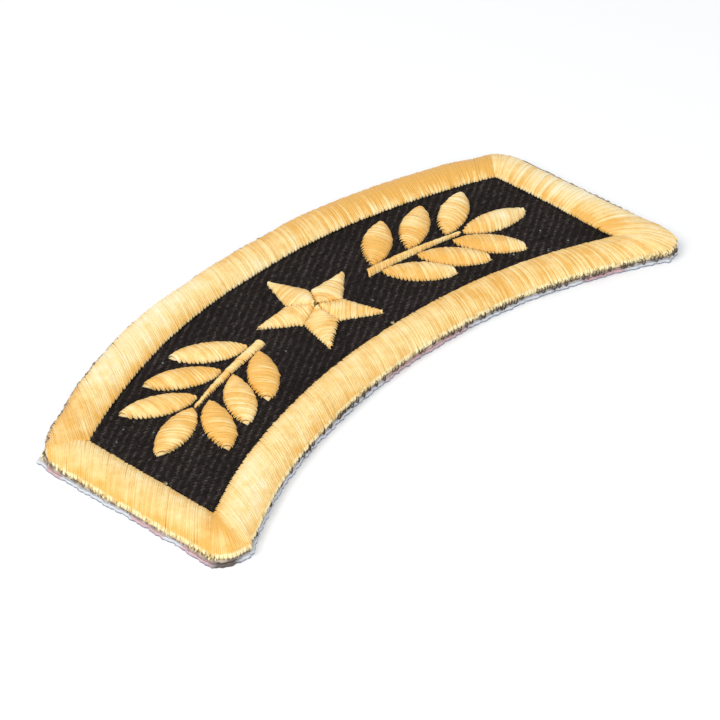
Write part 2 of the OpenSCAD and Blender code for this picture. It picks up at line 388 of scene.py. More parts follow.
def far_side(x, y):
    """1 at the top and right edges, 0 at the bottom and left ones, and a soft change between them."""
    middle = MIDDLE_Y + np.sqrt(ARC_R ** 2 - x ** 2)
    up = (y - middle) / (FIELD_H / 2 + RIM_W)
    across = x / HALF_W
    return smooth_step(0.5 + up + across * np.abs(across) ** 7)


def cut_press(x, y):
    """How far the cloth is pressed down at its cut."""
    return NEAR_PRESS + (FAR_PRESS - NEAR_PRESS) * far_side(x, y)


def stray(points, pulls):
    """The ideal patch's points moved in plane by the pulls. Each fades round its place as a bell curve."""
    moved = points.copy()
    for x, y, pull_x, pull_y, reach in pulls:
        distance = np.hypot(points[:, 0] / MM - x, points[:, 1] / MM - y)
        fade = np.exp(-(distance / reach) ** 2)
        moved[:, 0] += pull_x * MM * fade
        moved[:, 1] += pull_y * MM * fade
    return moved


# Meshes

def grid_faces(numbers):
    """Four-sided faces between the neighbours in a grid of point numbers, row by row."""
    corners = [numbers[:-1, :-1], numbers[:-1, 1:], numbers[1:, 1:], numbers[1:, :-1]]
    return np.stack(corners, axis=2).reshape(-1, 4)


def mesh_object(name, points, faces, tone=None, uv=None, sharp=None, pulls=()):
    """A new mesh object from points and faces, with a tone per point and a UV per corner if given."""
    mesh = bpy.data.meshes.new(name)
    mesh.from_pydata(stray(points, STRAY_PULLS + list(pulls)).tolist(), [], faces)
    if tone is not None:
        layer = mesh.attributes.new("tone", "FLOAT", "POINT")
        layer.data.foreach_set("value", np.ascontiguousarray(tone, np.float32))
    if uv is not None:
        layer = mesh.uv_layers.new(name="thread")
        layer.data.foreach_set("uv", np.ascontiguousarray(uv, np.float32).ravel())
    mesh.polygons.foreach_set("use_smooth", np.ones(len(mesh.polygons), bool))
    if sharp is not None:
        mesh.set_sharp_from_angle(angle=sharp)
    mesh.update()
    piece = bpy.data.objects.new(name, mesh)
    bpy.context.scene.collection.objects.link(piece)
    return piece


def tubes(name, strands, sides=THREAD_SIDES, pulls=()):
    """Closed tubes, one for each strand, in one mesh.

    strands holds paths (tubes x stations x 3), a unit vector per tube square to its path, and widths, heights
    and tones (tubes x stations). At each inner station an ellipse of that width and height stands square to
    the path, and the first and last station are the poles that close the tube. U runs along the thread in
    millimetres, and V once round it from a start of its own.
    """
    paths, side, width, height, tone = strands
    count, stations, _ = paths.shape
    along = unit(np.gradient(paths, axis=1))
    across = np.broadcast_to(side[:, None], paths.shape)
    above = unit(np.cross(along, across))
    turn = np.arange(sides) * 2 * np.pi / sides + np.pi / 2
    rings = (paths[:, 1:-1, None]
             + across[:, 1:-1, None] * (width[:, 1:-1, None, None] / 2 * np.cos(turn)[:, None])
             + above[:, 1:-1, None] * (height[:, 1:-1, None, None] / 2 * np.sin(turn)[:, None]))
    points = np.concatenate([rings.reshape(count, -1, 3), paths[:, :1], paths[:, -1:]], axis=1).reshape(-1, 3)
    tone = np.broadcast_to(tone, (count, stations))
    tone = np.concatenate([np.repeat(tone[:, 1:-1], sides, axis=1), tone[:, :1], tone[:, -1:]], axis=1)

    k = np.arange(sides)
    closed = np.append(k, 0)
    last_ring = (stations - 3) * sides
    each = last_ring + sides + 2
    quads = grid_faces(np.arange(0, last_ring + 1, sides)[:, None] + closed)
    first = np.stack([np.full(sides, each - 2), closed[1:], k], axis=1)
    last = np.stack([np.full(sides, each - 1), last_ring + k, last_ring + closed[1:]], axis=1)
    starts = (np.arange(count) * each)[:, None, None]
    ends = np.concatenate([first, last])
    faces = [(own + starts).reshape(-1, own.shape[1]).tolist() for own in (quads, ends)]

    step = np.linalg.norm(np.diff(paths, axis=1), axis=2)
    length = np.concatenate([np.zeros((count, 1)), np.cumsum(step, axis=1)], axis=1) / MM
    quad_u = np.stack([length[:, 1:-2], length[:, 1:-2], length[:, 2:-1], length[:, 2:-1]], axis=2)
    quad_v = np.stack([k, k + 1, k + 1, k], axis=1) / sides
    end_u = np.stack([length[:, [0, 1, 1]], length[:, [-1, -2, -2]]], axis=1)
    end_v = np.stack([np.stack([k + 0.5, k + 1, k], axis=1), np.stack([k + 0.5, k, k + 1], axis=1)]) / sides
    own_start = (np.arange(count) % 97 * 1.37)[:, None, None, None]
    uv = [np.stack(np.broadcast_arrays(u[:, :, None], v + own_start), axis=-1).reshape(-1, 2)
          for u, v in ((quad_u, quad_v), (end_u, end_v))]
    return mesh_object(name, points, faces[0] + faces[1], tone.ravel(), np.concatenate(uv), pulls=pulls)


def satin(start, end, start_z, end_z, crest_z, dome, seed, entry=0.0, shift_in=0.0, shift_out=0.0,
          spread=0.8, tip=0.3, shade=-0.6):
    """Strands of satin stitching between two rows of needle holes.

    start and end are figures x holes x 2. The thread goes to and fro: from each start hole to the end hole
    across from it, and back to the next start hole. The two threads of a hole push each other a quarter of
    the pitch apart over the shoulder beside it, so that all lie side by side. Along a thread, its share goes
    from entry to 1. Its height is a straight line from start_z to end_z, lifted towards crest_z by dome_lift,
    with a quarter circle over each shoulder. Ends, widths, heights and tones vary from thread to thread, and
    a slow ripple lifts neighbours together. Tones spread evenly over the given range, about a mean that
    shifts along the thread; on the border these shifts are painted light and sheen. The tips have a painted
    highlight of their own, and a painted shade fades inwards from both holes.
    """
    figures, holes, _ = start.shape
    rng = np.random.default_rng(seed)
    start = start + rng.normal(0, NEEDLE_SCATTER, start.shape)
    end = end + rng.normal(0, NEEDLE_SCATTER, end.shape)
    start_step, end_step = ((row[:, 1:] - row[:, :-1]) / 4 for row in (start, end))
    from_there, to_there, from_push, to_push = (
        np.stack(pair, axis=2).reshape(-1, 2)
        for pair in ((start[:, :-1], start[:, 1:]), (end[:, :-1], end[:, :-1]),
                     (start_step, -start_step), (-end_step, end_step)))
    crest, low, entry, shift_in, shift_out, spread, tip, shade = (
        np.repeat(np.broadcast_to(value, (figures, holes))[:, :-1], 2, axis=1).reshape(-1, 1)
        for value in (crest_z, end_z, entry, shift_in, shift_out, spread, tip, shade))
    count = len(from_there)
    run = to_there - from_there
    reach = np.linalg.norm(run, axis=1, keepdims=True)
    heading = run / reach
    slack = rng.normal(0, END_SLACK, (count, 1)) + np.where(entry > 0, ENTRY_SLACK, 0)
    from_there = from_there - heading * slack
    to_there = to_there + heading * rng.normal(0, END_SLACK, (count, 1))
    side = raised(left_of(heading), np.zeros(count))

    shoulder = np.minimum(SHOULDER / reach, 0.3)
    climb = np.array([0, 0.12, 0.45, 1.0])
    level = np.array([0.2, 0.4, 0.6, 0.8])
    along = np.concatenate([shoulder * climb, shoulder + (1 - 2 * shoulder) * level,
                            1 - shoulder * climb[::-1]], axis=1)
    share = entry + (1 - entry) * along
    first = np.clip(along / (shoulder * np.where(entry > 0, 0.3, 1)), 0, 1)
    last = np.clip((1 - along) / shoulder, 0, 1)
    lift = dome_lift(quarter_circle(first) * quarter_circle(last), share, dome)

    apart = (1 - (1 - first) ** 3) * (1 - (1 - last) ** 3)
    push = from_push[:, None] + (to_push - from_push)[:, None] * along[..., None]
    plane = from_there[:, None] + (to_there - from_there)[:, None] * along[..., None]
    plane = plane + push * (HOLE_SPREAD + (1 - HOLE_SPREAD) * apart)[..., None]
    bow = rng.normal(0, BOW, (count, 1)) * np.sin(np.pi * along) \
        + rng.normal(0, SNAKE, (count, 1)) * np.sin(2 * np.pi * along)
    plane = plane + side[:, None, :2] * bow[..., None]
    base = start_z + (low - start_z) * share
    z = base + (crest - THREAD_THICK / 2 - base) * lift
    z = z + lift * (WAVE_RISE * ripple(plane[..., 0], plane[..., 1], seed + 1, WAVE_LENGTH)
                    + rng.normal(0, RISE_SCATTER, (count, 1)))

    from_hole = np.minimum(first, last)
    swell = 0.80 + 0.20 * from_hole
    width = THREAD_WIDTH * rng.uniform(0.9, 1.12, (count, 1)) * swell
    height = THREAD_THICK * rng.uniform(0.9, 1.15, (count, 1)) * swell
    # a mean tone that shifts along the thread; on the border the shifts are painted light and sheen
    tone = 0.5 + spread * (rng.random((count, 1)) - 0.5) + shift_in + (shift_out - shift_in) * share
    # painted shade fading inwards from both holes, and a painted highlight at the tips
    to_hole = np.minimum(along, 1 - along) * reach
    tone = tone + shade * np.clip(1 - to_hole / SHADE_REACH, 0, 1) + tip * (1 - from_hole) ** 1.5
    return raised(plane, z), side, width, height, tone


# The border's stitches

def field_place(stop):
    """The needle's place at the field's edge at each stop, or out along the mitre below 0 and above 4."""
    top, low, half = NEEDLE_EDGE.top, NEEDLE_EDGE.low, NEEDLE_EDGE.half
    share = np.clip(stop, 0, 4)
    leg = np.minimum(share.astype(int), 3)
    part = share - leg
    corner_y, foot_y = top.arc(half), low.arc(half)
    tall = corner_y - foot_y
    x = np.choose(leg, [half * (2 * part - 1), half + 0 * part, half * (1 - 2 * part), -half + 0 * part])
    y = np.choose(leg, [top.arc(x), corner_y - tall * part, low.arc(x), foot_y + tall * part])
    out = np.maximum(-stop, 0) + np.maximum(stop - 4, 0)
    return np.stack([x + out * LEFT_MITRE_REACH[0], y + out * LEFT_MITRE_REACH[1]], axis=-1)


def reach_edge(start, heading, edge):
    """How far each point goes along its heading before it leaves the outline, by halving steps."""
    near = np.zeros(len(start))
    far = np.full(len(start), FURTHEST_EDGE)
    for _ in range(HALVINGS):
        middle = (near + far) / 2
        inside = edge.holds(start + heading * middle[:, None])
        near = np.where(inside, middle, near)
        far = np.where(inside, far, middle)
    return near


def border_stitch_lines():
    """Needle holes of the border stitches, inner and outer, spread so that neighbours lie one pitch apart."""
    row = np.linspace(0, len(STITCH_TURN) - 1, 6000)
    stop, turn = (np.interp(row, np.arange(len(STITCH_TURN)), column) for column in zip(*STITCH_TURN))
    start, heading = field_place(stop), spun(np.radians(turn))
    inside = stitch_edge(-0.15 * MM).holds(start)
    stop, start, heading = stop[inside], start[inside], heading[inside]
    end = start + heading * reach_edge(start, heading, stitch_edge(0.12 * MM))[:, None]
    inner_gap, outer_gap = (np.abs((np.diff(row, axis=0) * left_of(heading[:-1])).sum(axis=1))
                            for row in (start, end))
    spread = np.concatenate([[0], np.cumsum(np.maximum(inner_gap, 0.9 * outer_gap))])
    count = int(spread[-1] / BORDER_PITCH)
    wanted = np.linspace(0, spread[-1], count + 1)
    wanted = wanted + np.random.default_rng(5).normal(0, 0.08 * BORDER_PITCH, count + 1)
    pick = np.interp(wanted, spread, np.arange(len(spread))).round().astype(int)
    return start[pick], end[pick], stop[pick]


def border_stitches():
    """The raised golden frame: threads from the field's edge to the cut, turning at the corners."""
    start, end, stop = border_stitch_lines()
    above = np.hypot(start[:, 0], start[:, 1] - UPPER_Y) - NEEDLE_EDGE.top.radius
    beside = -start[:, 0] - NEEDLE_EDGE.half
    entry = np.where(stop < 0, above, np.where(stop > 4, beside, 0)) / BORDER_W
    # painted light and sheen at each stitch's stop: shifts, highlight at the tips, shade by the holes, range
    # of tones
    places, *tones = np.array(STITCH_PAINTED_LIGHT_AND_TONE).T
    tones = [np.interp(stop, places, tone)[None] for tone in tones]
    low = CLOTH_TOP - cut_press(end[:, 0], end[:, 1]) + THREAD_REST
    strands = satin(start[None], end[None], CLOTH_TOP - THREAD_ROOT, low[None], CREST_Z - CREST_DROP,
                    BORDER_DOME, 11, np.clip(entry, 0, 0.85)[None], *tones)
    return tubes("border_stitches", strands, pulls=STITCH_PULLS)


def border_underlay():
    """The padding stitches under the frame: one closed ring whose section is a low flat dome."""
    inner = PADDING_EDGE.ring(90)
    outer = stitch_edge(0.02 * MM).ring(90)
    share = np.array([0, 0.01, 0.03, 0.07, 0.14, 0.24, 0.34, 0.44,
                      0.56, 0.66, 0.76, 0.86, 0.93, 0.97, 0.99, 1])
    from_end = np.clip(np.minimum(share, 1 - share) / (SHOULDER / BORDER_W), 0, 1)
    lift = dome_lift(quarter_circle(from_end), share, BORDER_DOME)
    share = np.concatenate([share, [0.75, 0.25]])
    lift = np.concatenate([lift, [-0.2, -0.2]])
    plane = inner[:, None] + (outer - inner)[:, None] * share[:, None]
    press = cut_press(outer[:, 0], outer[:, 1])[:, None]
    low = CLOTH_TOP - 0.14 * MM - (press - THREAD_ROOT) * share
    points = raised(plane, low + (CREST_Z - 0.13 * MM - low) * lift)
    numbers = np.arange(points[..., 0].size).reshape(points.shape[:2])
    faces = grid_faces(np.pad(numbers, (0, 1), mode="wrap"))
    tone = np.full(numbers.size, BORDER_PADDING_TONE)
    return mesh_object("border_underlay", points.reshape(-1, 3), faces.tolist(), tone, pulls=STITCH_PULLS)


# The figures in the field

def padding(name, foot, tip, half_width, rise):
    """A low closed body along each line from foot to tip, under its stitches: an ellipse along the line.

    half_width, in metres, is that of the stitches above at each station, and rise is the body's own, in
    millimetres. It ends a little inside them, is low where it is narrow, and its lower half is in the cloth.
    """
    half = np.maximum(half_width - PADDING_IN, PADDING_LEAST)
    rise = np.maximum(rise * MM * np.minimum(half / (0.8 * MM), 1), PADDING_LEAST)
    share = np.linspace(0, 1, len(half))
    plane = foot[:, None] + (tip - foot)[:, None] * share[:, None]
    side = raised(left_of(unit(tip - foot)), np.zeros(len(foot)))
    width, height = (np.tile(2 * size, (len(foot), 1)) for size in (half, rise))
    paths = raised(plane, np.full(plane.shape[:2], CLOTH_TOP))
    return tubes(name, (paths, side, width, height, FIGURE_PADDING_TONE), sides=12)


def star_half_width(distance):
    """Half width of an arm: it widens along the mitre to the notches and narrows straight to the point."""
    notch_along = STAR_NOTCH * STAR_R * math.cos(math.pi / 5)
    notch_across = STAR_NOTCH * STAR_R * math.sin(math.pi / 5)
    inner = distance * math.tan(math.pi / 5)
    outer = notch_across * (STAR_R - distance) / (STAR_R - notch_along)
    return np.minimum(inner, outer)


def star_arms():
    """Unit vectors along the five arms, the first one up."""
    return spun(np.pi / 2 + 2 * np.pi * np.arange(5) / 5)


def star_rise(distance):
    """Height of an arm in millimetres: it falls slowly outwards, and quickly at the point."""
    taper = np.minimum((STAR_R - distance) / (1.8 * MM), 1) ** 0.5
    return (0.40 + 0.50 * (1 - distance / STAR_R) ** 0.8) * (0.45 + 0.55 * taper)


def star_stitches():
    """Five satin arms: threads square to each arm, from its middle out to its point."""
    distance = np.arange(0.5 * MM, STAR_R - 0.1 * MM, FIGURE_PITCH)
    arms = star_arms()[:, None]
    axis = STAR_CENTRE + arms * distance[:, None]
    across = left_of(arms) * star_half_width(distance)[:, None]
    low = CLOTH_TOP - THREAD_ROOT
    crest = np.tile(CLOTH_TOP + star_rise(distance) * MM, (5, 1))
    strands = satin(axis - across, axis + across, low, low, crest, FIGURE_DOME, 21,
                    shift_in=-0.05, shift_out=-0.05, spread=1.1, shade=-0.3)
    return tubes("star_stitches", strands)


def star_underlay():
    """The padding under each arm of the star."""
    distance = np.linspace(0, 1, 12) * STAR_R
    foot = np.tile(STAR_CENTRE, (5, 1))
    return padding("star_underlay", foot, foot + star_arms() * STAR_R, star_half_width(distance),
                   star_rise(distance) - 0.13)


def on_curve(distance, off, hand):
    """A point at a distance along the field's middle arc from its top and off it outwards, on one hand."""
    angle = np.asarray(distance) / ARC_R
    radius = ARC_R + off
    return np.stack([hand * radius * np.sin(angle), MIDDLE_Y + radius * np.cos(angle)], axis=-1)


def leaf_lines(hand):
    """Foot and tip of each leaf on one hand: three pairs slanting off the stem and one leaf at its end.

    The last value is the way that the leaf's threads lean, 1 or -1.
    """
    skip = (STEM_W / 2 + FOOT_GAP) / math.sin(LEAF_ANGLE)
    lines = [(FIRST_PAIR + pair * PAIR_PITCH, slant, skip, math.copysign(hand, hand * slant))
             for pair in range(PAIRS) for slant in (LEAF_ANGLE, -LEAF_ANGLE)]
    lines.append((STEM_END + FOOT_GAP, 0.0, 0.0, hand))
    feet, tips, turns = [], [], []
    for place, slant, skip, turn in lines:
        heading = slant - place / ARC_R
        run = np.array([hand * math.cos(heading), math.sin(heading)])
        feet.append(on_curve(place, 0, hand) + run * skip)
        tips.append(feet[-1] + run * LEAF_L)
        turns.append(turn)
    return np.array(feet), np.array(tips), np.array(turns)


def leaf_half_width(share):
    """Half width of a leaf along its length: a full oval, pointed at both ends."""
    share = np.clip(share, 0, 1)
    return LEAF_W / 2 * (4 * share * (1 - share)) ** 0.75


def leaf_rise(share):
    """Height of a leaf in millimetres along its length: low at both ends and full over most of it."""
    return 0.17 + 0.62 * (leaf_half_width(share) / leaf_half_width(0.5)) ** 0.6


def sprig_stitches(name, hand, seed):
    """One laurel sprig: slanted threads over each leaf, and short ones over the curved stem."""
    feet, tips, turns = leaf_lines(hand)
    share = np.arange(0.02, 0.99, FIGURE_PITCH / LEAF_L)
    run = (tips - feet) / LEAF_L
    square = left_of(run)
    lean = turns[:, None] * LEAF_SLOPE * leaf_half_width(share)[None] / LEAF_L
    ends = []
    for way in (-1, 1):
        along = np.clip(share[None] + way * lean, 0.01, 0.99)
        end = feet[:, None] + run[:, None] * (along * LEAF_L)[..., None]
        ends.append(end + way * square[:, None] * leaf_half_width(along)[..., None])
    crest = np.tile(CLOTH_TOP + leaf_rise(share) * MM, (len(feet), 1))
    low = CLOTH_TOP - THREAD_ROOT
    mood = np.random.default_rng(seed + 9).uniform(-0.4, 0.4, (len(feet), 1)) + 0.8 * (share[None] - 0.5)
    leaves = satin(*ends, low, low, crest, FIGURE_DOME, seed, shift_in=mood - 0.85, shift_out=mood - 0.35,
                   spread=1.1, shade=-0.3)
    stem = np.arange(STEM_START + 0.1 * MM, STEM_END, 0.75 * FIGURE_PITCH)
    taper = np.maximum(1 - ((stem - STEM_START) / (STEM_END - STEM_START)) ** 2, 0.2)
    stem_start, stem_end = (on_curve(stem + way * 0.3 * STEM_W, way * taper * STEM_W / 2, hand)[None]
                            for way in (-1, 1))
    stem_crest = CLOTH_TOP + (0.34 + 0.2 * taper) * MM
    stalk = satin(stem_start, stem_end, low, low, stem_crest[None], FIGURE_DOME, seed + 5,
                  shift_in=-0.4, shift_out=-0.4, shade=0.0)
    return tubes(name, tuple(np.concatenate(parts) for parts in zip(leaves, stalk)))


def sprig_underlay(name, hand):
    """The padding under each leaf of a sprig."""
    feet, tips, _ = leaf_lines(hand)
    share = np.linspace(0, 1, 12)
    return padding(name, feet, tips, leaf_half_width(share), leaf_rise(share) - 0.14)


# The cloths

def edge_spread(share, fill=12):
    """Places from -1 to 1 that crowd a little towards both ends: s (1 + e) - e s^fill."""
    extra = 0.8 / (fill - 1)
    return share * (1 + extra) - extra * np.sign(share) * np.abs(share) ** fill


def cloth_slab(name, edge, columns, rows, top_z, under_z, levels, fray, pulls):
    """A closed cloth with a cut edge.

    The upper face is a grid: columns across the patch, and in each the given shares of the way from the
    lower edge to the upper one. top_z gives its height from x, y and the distance to the cut. The rim wobbles
    in plane by the ruffle. A wall goes down from it through the levels, each pushed in or out by a seeded
    wave of the fray's size. Strips close the underside, and one flat face closes each of its ends.
    """
    x = edge.half * edge_spread(np.linspace(-1, 1, columns + 1))[:, None] + 0 * rows[None]
    low, top = edge.low(x), edge.top(x)
    y = low + (top - low) * rows[None]
    from_end, from_top, from_low = edge.half - np.abs(x), top - y, y - low
    depth = np.minimum(np.minimum(from_low, from_top), from_end)
    z = top_z(x, y, depth)
    lengths = np.array([9.1, 3.7, 1.7, 0.9]) * MM
    end_push, top_push, low_push = (
        wobble(place, CUT_SEED + side, lengths, CUT_RUFFLE) * np.exp(-(away / RUFFLE_REACH) ** 2)
        for side, (place, away) in enumerate(((y, from_end), (x, from_top), (x, from_low))))
    grid = np.stack([x + np.sign(x) * end_push, y + top_push - low_push, z], axis=-1).reshape(-1, 3)

    row_count = len(rows)
    number = np.arange((columns + 1) * row_count).reshape(columns + 1, row_count)
    rim = np.concatenate([number[:, 0], number[-1, 1:], number[-2::-1, -1], number[0, -2:0:-1]])
    rim_points = grid[rim]
    ahead = np.roll(rim_points, -1, axis=0) - np.roll(rim_points, 1, axis=0)
    outward = unit(np.stack([ahead[:, 1], -ahead[:, 0], 0 * ahead[:, 0]], axis=1))
    walk = np.cumsum(np.linalg.norm(np.diff(rim_points, axis=0, append=rim_points[:1]), axis=1))
    rng = np.random.default_rng(CUT_SEED + 3)
    rings = []
    for share, push in levels:
        turns = rng.integers(90, 400, 4)
        wave = sum(np.sin(2 * np.pi * turn * walk / walk[-1] + turn) for turn in turns) / 4
        ring = rim_points + outward * (push + fray * wave)[:, None]
        ring[:, 2] = rim_points[:, 2] + (under_z - rim_points[:, 2]) * share
        rings.append(ring)
    points = np.concatenate([grid] + rings)

    wall = len(grid) + np.arange(len(levels) * len(rim)).reshape(len(levels), -1)
    walls = grid_faces(np.pad(np.concatenate([rim[None], wall]), ((0, 0), (0, 1)), mode="wrap").T)
    bottom = wall[-1]
    low_row = bottom[:columns + 1]
    top_row = bottom[columns + row_count - 1:2 * columns + row_count][::-1]
    near = columns // 20
    strips = grid_faces(np.stack([low_row[near:-near], top_row[near:-near]], axis=1))
    right_end = bottom[columns - near:columns + row_count + near]
    left_end = np.concatenate([bottom[2 * columns + row_count - 1 - near:], bottom[:near + 1]])
    faces = np.concatenate([grid_faces(number.T), walls, strips]).tolist()
    faces += [left_end[::-1].tolist(), right_end[::-1].tolist()]
    tone = np.ones(len(points))
    tone[:len(grid)] = 1 - smooth_step(depth.ravel() / FRAY_REACH)
    return mesh_object(name, points, faces, tone=tone, sharp=math.radians(50), pulls=pulls)


def twill_height(x, y, depth):
    """Height of the twill: slanted ribs, pulled down by the frame's stitches and pressed thin at the cut.

    The ribs are a cosine of the weave's phase, x / weft pitch - y / warp pitch, over one repeat.
    """
    phase = (x / WEFT_PITCH - y / WARP_PITCH) / TWILL_REPEAT
    strength = 0.75 + 0.25 * ripple(x, y, 31, 2.5 * MM)
    ribs = RIB_DEPTH * strength * (0.5 - 0.5 * np.cos(2 * np.pi * phase + 0.5 * ripple(x, y, 32, 6 * MM)))
    inside = depth - RIM_W + NEEDLE_OUT
    pull = STITCH_PULL * np.exp(-(inside / PULL_REACH) ** 2)
    press = cut_press(x, y) * (1 - smooth_step(depth / PRESS_REACH))
    sway = SWAY_RISE * ripple(x, y, 33, 9 * MM)
    return CLOTH_TOP - ribs - pull - press + sway


def twill_cloth():
    """The black twill ground: fine rows over the field, a few under the frame."""
    border_share = 0.186
    under_frame = np.array([0, 0.008, 0.02, 0.035, 0.055, 0.09, 0.14])
    field_rows = np.linspace(border_share - 0.008, 1 - border_share + 0.008, 138)
    rows = np.concatenate([under_frame, field_rows, 1 - under_frame[::-1]])
    levels = [(0.15, 0.04 * MM), (0.40, 0.02 * MM), (0.70, 0.03 * MM), (1.0, 0.0)]
    return cloth_slab("twill_cloth", cut_edge(0), 520, rows, twill_height, CLOTH_UNDER, levels,
                      fray=0.05 * MM, pulls=CLOTH_PULLS)


def backing_height(x, y, depth):
    """Height of the backing: flat."""
    return BACKING_HIGH.z + 0 * x


def backing_sheet():
    """The stiff white backing: a thin sheet under the twill that shows as a white line at the cut."""
    levels = [(0.2, 0.04 * MM), (0.6, 0.06 * MM), (1.0, 0.08 * MM)]
    return cloth_slab("backing_sheet", cut_edge(0.04 * MM), 440, np.linspace(0, 1, 111), backing_height,
                      BACKING_LOW.z, levels, fray=0.08 * MM, pulls=CLOTH_PULLS + BACKING_LIPS)


# The frayed cut and loose fibres

def cut_walk(pitch, outset, seed):
    """Points at a pitch all round the cut, a little in or out, and the ways outwards and ahead there."""
    ring = cut_edge(outset).ring(700)
    closed = np.concatenate([ring, ring[:1]])
    step = np.linalg.norm(np.diff(closed, axis=0), axis=1)
    walk = np.concatenate([[0], np.cumsum(step)])
    count = int(walk[-1] / pitch)
    rng = np.random.default_rng(seed)
    place = (np.arange(count) + rng.uniform(-0.35, 0.35, count)) * walk[-1] / count % walk[-1]
    point, further = (np.stack([np.interp(at % walk[-1], walk, closed[:, axis]) for axis in (0, 1)], axis=1)
                      for at in (place, place + 0.3 * MM))
    ahead = unit(further - point)
    return point, left_of(ahead), ahead


def cut_strands(name, pitch, seed, above, down, loop, lean, thickness, kept, outset=-0.05 * MM, closed=False,
                shift=0.0):
    """Short strands standing in the cut edge: down from the stitches' ends, with a loop, a lean and a bulge.

    Along a strand, share t goes from 0 to 1. Its height falls from a little above the rim, less so on the
    far sides, by a share of the rim's height over the backing. It steps sideways by a half sine of the loop
    plus the lean, and it bulges outwards by a half sine. A closed strand goes down and up again, and aside by
    a whole sine, as a ring. kept is the share that stays on the far sides, and then from left to right along
    the bottom: at its left end, in its middle, twice at its right and at the right corner.
    """
    point, outward, ahead = cut_walk(pitch, outset, seed)
    rng = np.random.default_rng(seed + 1)
    near = np.interp(point[:, 0] / MM, [-36, -15, 25, 35.5, 36.5], kept[1:])
    share = np.where(far_side(point[:, 0], point[:, 1]) > 0.5, kept[0], near)
    stays = rng.random(len(point)) < share
    point, outward, ahead = point[stays], outward[stays], ahead[stays]
    count = len(point)
    t = np.linspace(0, 1, 7)
    rim = CLOTH_TOP - cut_press(point[:, :1], point[:, 1:])
    high = rim + above * (1 - far_side(point[:, :1], point[:, 1:]))
    tall = down * (rim - CLOTH_UNDER) * rng.uniform(0.6, 1.05, (count, 1))
    z = high - tall * (0.5 - 0.5 * np.cos(2 * np.pi * t) if closed else t)
    swing = rng.uniform(0.6, 1.3, (count, 1)) if closed else rng.normal(0, 1, (count, 1))
    aside = swing * loop * np.sin(np.pi * t * (2 if closed else 1)) + rng.normal(0, 1, (count, 1)) * lean * t
    out = rng.uniform(0.0, 0.10, (count, 1)) * MM * np.sin(np.pi * t) + rng.normal(0, 0.02 * MM, (count, 1))
    plane = point[:, None] + outward[:, None] * out[..., None] + ahead[:, None] * aside[..., None]
    side = raised(outward if closed else ahead, np.zeros(count))
    size = thickness * rng.uniform(0.65, 1.3, (count, 1)) * np.sin(np.pi * np.clip(t, 0.08, 0.92)) ** 0.4
    tone = rng.random((count, 1)) + shift
    return tubes(name, (raised(plane, z), side, size, 0.8 * size, tone), sides=5, pulls=CLOTH_PULLS)


def loose_fibres(name, places, each, low, high, height, seed):
    """Tiny curled fibres at the places: each a seeded loop of a Lissajous curve, low to high mm across."""
    rng = np.random.default_rng(seed)
    centres = np.repeat(np.array(places) * MM, each, axis=0)
    count = len(centres)
    t = np.linspace(0, 1, 14)
    radius = rng.uniform(low, high, (count, 1)) * MM / 2
    turn = rng.uniform(0, 2 * np.pi, (count, 1))
    x = radius * np.sin(2 * np.pi * t * rng.uniform(0.6, 1.3, (count, 1)) + turn)
    y = radius * np.sin(2 * np.pi * t * rng.uniform(0.8, 1.6, (count, 1)) + 2 * turn)
    z = CLOTH_TOP + height + 0.05 * MM * np.sin(np.pi * t) + 0 * x
    paths = raised(centres[:, None] + np.stack([x, y], axis=-1), z)
    side = np.tile([0.0, 0.0, 1.0], (count, 1))
    size = 0.026 * MM * np.sin(np.pi * np.clip(t, 0.1, 0.9)) ** 0.3 + 0 * x
    return tubes(name, (paths, side, size, size, rng.random((count, 1))), sides=4)


# Materials

